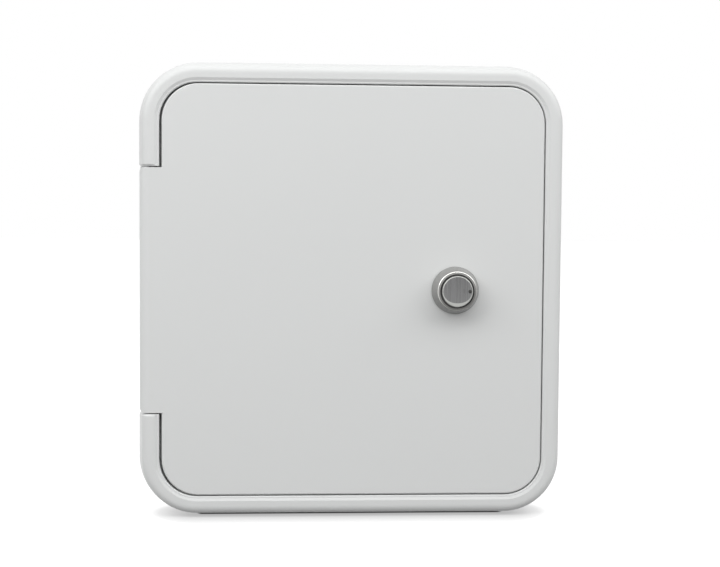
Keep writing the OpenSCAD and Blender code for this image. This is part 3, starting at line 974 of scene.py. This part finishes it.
def scatter_tree(name):
    """A node tree that puts one shape on each point of a mesh."""
    tree = bpy.data.node_groups.new(name, "GeometryNodeTree")
    socket = tree.interface.new_socket
    socket(name="Geometry", in_out="INPUT", socket_type="NodeSocketGeometry")
    shape = socket(name="Shape", in_out="INPUT", socket_type="NodeSocketObject")
    size = socket(name="Size", in_out="INPUT", socket_type="NodeSocketFloat")
    finish = socket(name="Finish", in_out="INPUT", socket_type="NodeSocketMaterial")
    socket(name="Geometry", in_out="OUTPUT", socket_type="NodeSocketGeometry")
    size.default_value = 1.0
    start = tree.nodes.new("NodeGroupInput")
    end = tree.nodes.new("NodeGroupOutput")
    info = tree.nodes.new("GeometryNodeObjectInfo")
    copies = tree.nodes.new("GeometryNodeInstanceOnPoints")
    real = tree.nodes.new("GeometryNodeRealizeInstances")
    paint = tree.nodes.new("GeometryNodeSetMaterial")
    links = tree.links
    links.new(start.outputs["Geometry"], copies.inputs["Points"])
    links.new(start.outputs["Shape"], info.inputs["Object"])
    links.new(info.outputs["Geometry"], copies.inputs["Instance"])
    links.new(start.outputs["Size"], copies.inputs["Scale"])
    links.new(copies.outputs["Instances"], real.inputs["Geometry"])
    links.new(real.outputs["Geometry"], paint.inputs["Geometry"])
    links.new(start.outputs["Finish"], paint.inputs["Material"])
    links.new(paint.outputs["Geometry"], end.inputs["Geometry"])
    return tree, shape.identifier, size.identifier, finish.identifier


def repeat(name, shape, places, material, body, replaced=()):
    """Repeats a shape at each place as one mesh that rides on a body."""
    tree, shape_id, size_id, finish_id = scatter_tree(name + "_layout")
    points = bpy.data.meshes.new(name + "_points")
    points.from_pydata([tuple(p) for p in places], [], [])
    obj = add_object(name, points)
    modifier = obj.modifiers.new("layout", "NODES")
    modifier.node_group = tree
    modifier[shape_id] = shape
    modifier[size_id] = 1.0
    modifier[finish_id] = material
    graph = bpy.context.evaluated_depsgraph_get()
    mesh = bpy.data.meshes.new_from_object(obj.evaluated_get(graph))
    obj.modifiers.clear()
    obj.data = mesh
    mesh.name = name + "_mesh"
    bpy.data.meshes.remove(points)
    pattern = shape.data
    bpy.data.objects.remove(shape)
    bpy.data.meshes.remove(pattern)
    smooth(mesh, SHARP)
    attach(obj, body)
    if replaced:
        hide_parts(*replaced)
    return obj


def pattern_object(name, bm):
    """A shape for repeating, which isn't part of the hatch itself."""
    return add_object(name, closed_mesh(name, bm))


def make_keeper_screws(steel):
    """Two cross-recessed screws that hold the keeper to the collar."""
    low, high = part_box("keeper_screws")
    head_x = low.x
    radius = 3.0
    shank = 1.5
    dome = 1.3
    bm = bmesh.new()
    section = [(0, 0)]
    for a in range(15, 91, 15):
        bend = math.radians(a)
        section.append((radius * math.sin(bend), -dome * (1 - math.cos(bend))))
    section += [(radius, -1.8), (shank, -1.8)]
    tail = (high.x - low.x) / MM
    rows = 26
    for i in range(rows + 1):
        h = -1.9 - (tail - 3.6) * i / rows
        section.append((shank - 0.25 * (i % 2), h))
    section += [(0.3, -tail), (0, -tail)]
    spin(bm, section, Vector((0, 0, 0)), turns=32)
    shape = pattern_object("keeper_screw_shape", bm)
    cutters = [
        cutter_box("recess_a", (-1.7 * MM, -0.6 * MM, -0.4 * MM), (1.7 * MM, 1.2 * MM, 0.4 * MM)),
        cutter_box("recess_b", (-0.4 * MM, -0.6 * MM, -1.7 * MM), (0.4 * MM, 1.2 * MM, 1.7 * MM)),
    ]
    for cutter in cutters:
        for vert in cutter.data.vertices:
            if vert.co.y > 0.5 * MM:
                vert.co.x *= 0.3
                vert.co.z *= 0.3
    cut_out(shape, cutters)
    turn = Matrix.Rotation(math.radians(-90), 4, "Z")
    shape.data.transform(turn)
    middle_y = (low.y + high.y) / 2
    places = [(head_x, middle_y, high.z - radius * MM), (head_x, middle_y, low.z + radius * MM)]
    repeat("keeper_screw_pair", shape, places, steel, "frame", ("keeper_screws",))


def make_rim(shell, ease):
    """The frame with its crest eased down towards the ledge, as the moulded rim shows it."""
    low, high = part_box("frame")
    half = (high.x / MM - RIM_CORNER, high.z / MM - RIM_CORNER)
    crest = -low.y / MM
    start = crest - CREST_DEPTH
    bm = bmesh.new()
    bm.from_mesh(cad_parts["frame"].data)
    bmesh.ops.remove_doubles(bm, verts=bm.verts, dist=1e-6)
    for vert in bm.verts:
        height = -vert.co.y / MM
        if height <= start:
            continue
        run = max(0.0, abs(vert.co.x) / MM - half[0])
        rise = max(0.0, abs(vert.co.z) / MM - half[1])
        if RIM_CORNER - math.hypot(run, rise) < EASED_WIDTH:
            share = (height - start) / (crest - start)
            vert.co.y = -(height - ease / MM * share * share) * MM
    mesh = take_mesh("hatch_rim", bm)
    if "custom_normal" in mesh.attributes:
        mesh.attributes.remove(mesh.attributes["custom_normal"])
    smooth(mesh, RIM_SHARP)
    mesh.materials.clear()
    mesh.materials.append(shell)
    obj = add_object("hatch_rim", mesh)
    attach(obj, "frame")
    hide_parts("frame")


def make_ejector_marks(shell):
    """Round marks that the mould's ejector pins leave behind the door."""
    skin = DOOR_BACK
    bm = bmesh.new()
    section = [(0, skin + 0.05), (2.6, skin + 0.05), (2.6, skin - 0.08)]
    section += [(2.45, skin - 0.12), (2.2, skin - 0.06), (0, skin - 0.06)]
    spin(bm, section, Vector((0, 0, 0)), turns=32)
    shape = pattern_object("ejector_mark_shape", bm)
    pitch = 31.0 * MM
    clear = 22.0 * MM
    lock = box_centre("dust_cover")
    places = []
    for column in (-2, -1, 0, 1):
        for row in (-3, -1, 0, 2):
            place = Vector(((column + 0.5) * pitch, 0.0, (row + 0.5) * pitch))
            if math.hypot(place.x - lock.x, place.z - lock.z) > clear:
                places.append(place)
    repeat("ejector_marks", shape, places, shell, "door")


class OBJECT_OT_hatch_shell(bpy.types.Operator):
    """Finishes the frame and the door as white moulded plastic"""

    bl_idname = "object.hatch_shell"
    bl_label = "Finish Shell"

    def execute(self, context):
        material = shell_material(context.scene.hatch_finish)
        for node in ("frame", "door"):
            dress(node, material)
        make_rim(material, context.scene.hatch_finish.crest_ease)
        make_ejector_marks(material)
        return {"FINISHED"}


class OBJECT_OT_hatch_soft(bpy.types.Operator):
    """Finishes the seals and the wall gasket"""

    bl_idname = "object.hatch_soft"
    bl_label = "Finish Seals"

    def execute(self, context):
        finish = context.scene.hatch_finish
        rubber = soft_material("Seal Rubber", finish.rubber_colour, 0.55, 1500.0, 0.2)
        foam = soft_material("Gasket Foam", finish.foam_colour, 0.85, 900.0, 0.8)
        dress("door_seal", rubber)
        dress("lock_gasket", rubber)
        dress("wall_gasket", foam)
        return {"FINISHED"}


class OBJECT_OT_hatch_metal(bpy.types.Operator):
    """Finishes the lock, the keeper, the pins and the small metal pieces"""

    bl_idname = "object.hatch_metal"
    bl_label = "Finish Metal"

    def execute(self, context):
        finish = context.scene.hatch_finish
        zinc = metal_material("Zinc Plate", finish.zinc_colour, 0.36, 0.2, (900.0,) * 3)
        dull = metal_material("Plain Steel", (0.42, 0.42, 0.43), 0.4, 0.2, (2500.0, 2500.0, 400.0))
        brass = metal_material("Stamped Brass", (0.58, 0.42, 0.2), 0.35, 0.2, (1200.0,) * 3)
        plug = metal_material("Plug Plate", finish.plug_and_recess_shade_colour, 0.42, 0.25, (1500.0,) * 3)
        for node in ("keeper", "cam", "cam_stop", "lock_nut"):
            dress(node, zinc)
        for node in ("keeper_screws", "upper_hinge_pin", "lower_hinge_pin", "lock_washer",
                     "cam_washer", "cam_screw", "cover_washer", "cover_rivet",
                     "lock_housing", "dust_cover"):
            dress(node, dull)
        dress("lock_plug", plug)
        dress("wafer_tumblers", brass)
        make_keeper_screws(dull)
        make_cam_screw(dull)
        make_nut(context.scene.hatch_lock, zinc)
        return {"FINISHED"}


class OBJECT_OT_hatch_lock(bpy.types.Operator):
    """Builds the lock's collar and barrel, the dust cover and its rivet"""

    bl_idname = "object.hatch_lock"
    bl_label = "Build Lock"

    def execute(self, context):
        finish = context.scene.hatch_finish
        lock = context.scene.hatch_lock
        make_collar(lock, finish)
        make_cover(lock, finish)
        make_rivet()
        return {"FINISHED"}


def area_lamp(name, place, size, power):
    """A soft rectangular white lamp, aimed at the hatch's middle."""
    data = bpy.data.lights.new(name, "AREA")
    data.shape = "RECTANGLE"
    data.size, data.size_y = size
    data.energy = power
    obj = add_object(name, data)
    obj.location = place
    direction = Vector(MIDDLE) - obj.location
    obj.rotation_euler = direction.to_track_quat("-Z", "Y").to_euler()


def contact_distance_group():
    """Distance on the floor from the strip that the rim stands on."""
    name = "Contact Distance"
    if name in bpy.data.node_groups:
        return bpy.data.node_groups[name]
    tree, start, end = group_tree(
        name,
        [
            ("Half Length", "NodeSocketFloat", 0.075),
            ("Middle", "NodeSocketFloat", -0.0005),
            ("Half Depth", "NodeSocketFloat", 0.001),
        ],
        [("Distance", "NodeSocketFloat")],
    )
    place = tree.nodes.new("ShaderNodeTexCoord")
    split = tree.nodes.new("ShaderNodeSeparateXYZ")
    link(tree, place.outputs["Object"], split.inputs[0])
    run = math_node(tree, "ABSOLUTE", split.outputs["X"])
    run = math_node(tree, "SUBTRACT", run, start.outputs["Half Length"])
    run = math_node(tree, "MAXIMUM", run, 0.0)
    depth = math_node(tree, "SUBTRACT", split.outputs["Y"], start.outputs["Middle"])
    depth = math_node(tree, "ABSOLUTE", depth)
    depth = math_node(tree, "SUBTRACT", depth, start.outputs["Half Depth"])
    depth = math_node(tree, "MAXIMUM", depth, 0.0)
    run = math_node(tree, "MULTIPLY", run, run)
    depth = math_node(tree, "MULTIPLY", depth, depth)
    both = math_node(tree, "ADD", run, depth)
    link(tree, math_node(tree, "SQRT", both), end.inputs["Distance"])
    return tree


def floor_material(settings):
    """White floor that the camera sees as white; the hatch's shadow is rendered, and a painted
    shadow darkens the strip where the rim stands.
    """
    material, tree, shader = new_material("Studio Floor")
    shader.inputs["Base Color"].default_value = (*settings.floor_colour, 1.0)
    shader.inputs["Roughness"].default_value = 0.9
    shader.inputs["Specular IOR Level"].default_value = 0.1
    shader.inputs["Emission Color"].default_value = (1.0, 1.0, 1.0, 1.0)
    node = place_group(tree, contact_distance_group(), {})
    share = math_node(tree, "DIVIDE", node.outputs["Distance"], settings.shadow_reach)
    spread = tree.nodes.new("ShaderNodeValToRGB")
    ramp = spread.color_ramp
    near = settings.floor_glow
    # Painted shadow: no glow on the contact strip and a low glow close to it, rising to white
    # further away
    stops = ((0.04, 0.0), (0.11, near), (0.25, near), (0.5, near + 0.06), (0.75, near + 0.2))
    for position, glow in stops:
        ramp.elements.new(position).color = (glow, glow, glow, 1.0)
    link(tree, share, spread.inputs["Fac"])
    path = tree.nodes.new("ShaderNodeLightPath")
    seen = math_node(tree, "MAXIMUM", path.outputs["Is Camera Ray"], path.outputs["Is Glossy Ray"])
    glow = math_node(tree, "MULTIPLY", spread.outputs["Color"], seen)
    link(tree, glow, shader.inputs["Emission Strength"])
    return material


def make_floor(level, settings):
    """A large flat floor just under the hatch."""
    mesh = bpy.data.meshes.new("studio_floor")
    reach = 6.0
    signs = ((-1, -1), (1, -1), (1, 1), (-1, 1))
    mesh.from_pydata([(x * reach, y * reach, level) for x, y in signs], [], [(0, 1, 2, 3)])
    mesh.materials.append(floor_material(settings))
    obj = add_object("studio_floor", mesh)


def make_world(sky):
    """Even light all round, and white where the camera or a reflection looks past the hatch."""
    world = bpy.data.worlds.new("Studio")
    world.use_nodes = True
    tree = world.node_tree
    tree.nodes.clear()
    out = tree.nodes.new("ShaderNodeOutputWorld")
    even = tree.nodes.new("ShaderNodeBackground")
    even.inputs["Color"].default_value = (1.0, 1.0, 1.0, 1.0)
    even.inputs["Strength"].default_value = sky
    white = tree.nodes.new("ShaderNodeBackground")
    white.inputs["Color"].default_value = (1.0, 1.0, 1.0, 1.0)
    path = tree.nodes.new("ShaderNodeLightPath")
    seen = math_node(tree, "MAXIMUM", path.outputs["Is Camera Ray"], path.outputs["Is Glossy Ray"])
    seen = math_node(tree, "MAXIMUM", seen, path.outputs["Is Transmission Ray"])
    mix = tree.nodes.new("ShaderNodeMixShader")
    link(tree, seen, mix.inputs["Fac"])
    link(tree, even.outputs[0], mix.inputs[1])
    link(tree, white.outputs[0], mix.inputs[2])
    link(tree, mix.outputs[0], out.inputs["Surface"])
    bpy.context.scene.world = world


def make_camera(settings):
    """The camera at the photograph's viewing angle."""
    yaw, pitch, roll = (math.radians(a) for a in settings.camera_turn)
    turn = (
        Matrix.Rotation(yaw, 3, "Z")
        @ Matrix.Rotation(pitch, 3, "X")
        @ Matrix.Rotation(roll, 3, "Y")
    )
    right, ahead, up = turn.col
    data = bpy.data.cameras.new("photo_camera")
    data.sensor_width = SENSOR
    data.lens = settings.focal_pixels / PHOTO_W * SENSOR
    data.clip_start = 0.01
    data.clip_end = 50.0
    obj = add_object("photo_camera", data)
    axes = Matrix((right, up, -ahead)).transposed()
    obj.matrix_world = Matrix.Translation(Vector(settings.camera_place)) @ axes.to_4x4()
    bpy.context.scene.camera = obj


class SCENE_OT_hatch_stage(bpy.types.Operator):
    """Sets the camera, the lamps, the world and the floor"""

    bl_idname = "scene.hatch_stage"
    bl_label = "Build Stage"

    def execute(self, context):
        stage = context.scene.hatch_stage
        make_camera(stage)
        area_lamp("left_softbox", (-0.75, -0.55, 0.55), (0.7, 0.6), stage.left_lamp)
        area_lamp("top_softbox", (0.0, -0.6, 0.85), (1.2, 0.6), stage.top_lamp)
        area_lamp("right_softbox", (0.85, -0.45, 0.6), (0.7, 0.6), stage.right_lamp)
        make_floor(CAD_BOX[0].z - FLOOR_GAP, stage)
        make_world(stage.sky)
        context.scene.view_settings.view_transform = "Standard"
        return {"FINISHED"}


class VIEW3D_PT_hatch(bpy.types.Panel):
    """Steps that build the hatch's looks"""

    bl_label = "Cord Hatch"
    bl_space_type = "VIEW_3D"
    bl_region_type = "UI"
    bl_category = "Hatch"

    def draw(self, context):
        column = self.layout.column()
        for operator in STEPS:
            column.operator(operator.bl_idname)


STEPS = (
    SCENE_OT_hatch_stage,
    OBJECT_OT_hatch_shell,
    OBJECT_OT_hatch_soft,
    OBJECT_OT_hatch_metal,
    OBJECT_OT_hatch_lock,
)
CLASSES = (HatchFinishSettings, HatchLockSettings, HatchStageSettings, *STEPS, VIEW3D_PT_hatch)


def register():
    """Registers the classes and their settings."""
    for cls in CLASSES:
        bpy.utils.register_class(cls)
    bpy.types.Scene.hatch_finish = bpy.props.PointerProperty(type=HatchFinishSettings)
    bpy.types.Scene.hatch_lock = bpy.props.PointerProperty(type=HatchLockSettings)
    bpy.types.Scene.hatch_stage = bpy.props.PointerProperty(type=HatchStageSettings)


def unregister():
    """Takes the settings and the classes out again."""
    del bpy.types.Scene.hatch_stage
    del bpy.types.Scene.hatch_lock
    del bpy.types.Scene.hatch_finish
    for cls in reversed(CLASSES):
        bpy.utils.unregister_class(cls)


def main():
    """Builds the looks, step by step."""
    register()
    for operator in STEPS:
        group, name = operator.bl_idname.split(".")
        getattr(getattr(bpy.ops, group), name)()


if __name__ == "__main__":
    main()
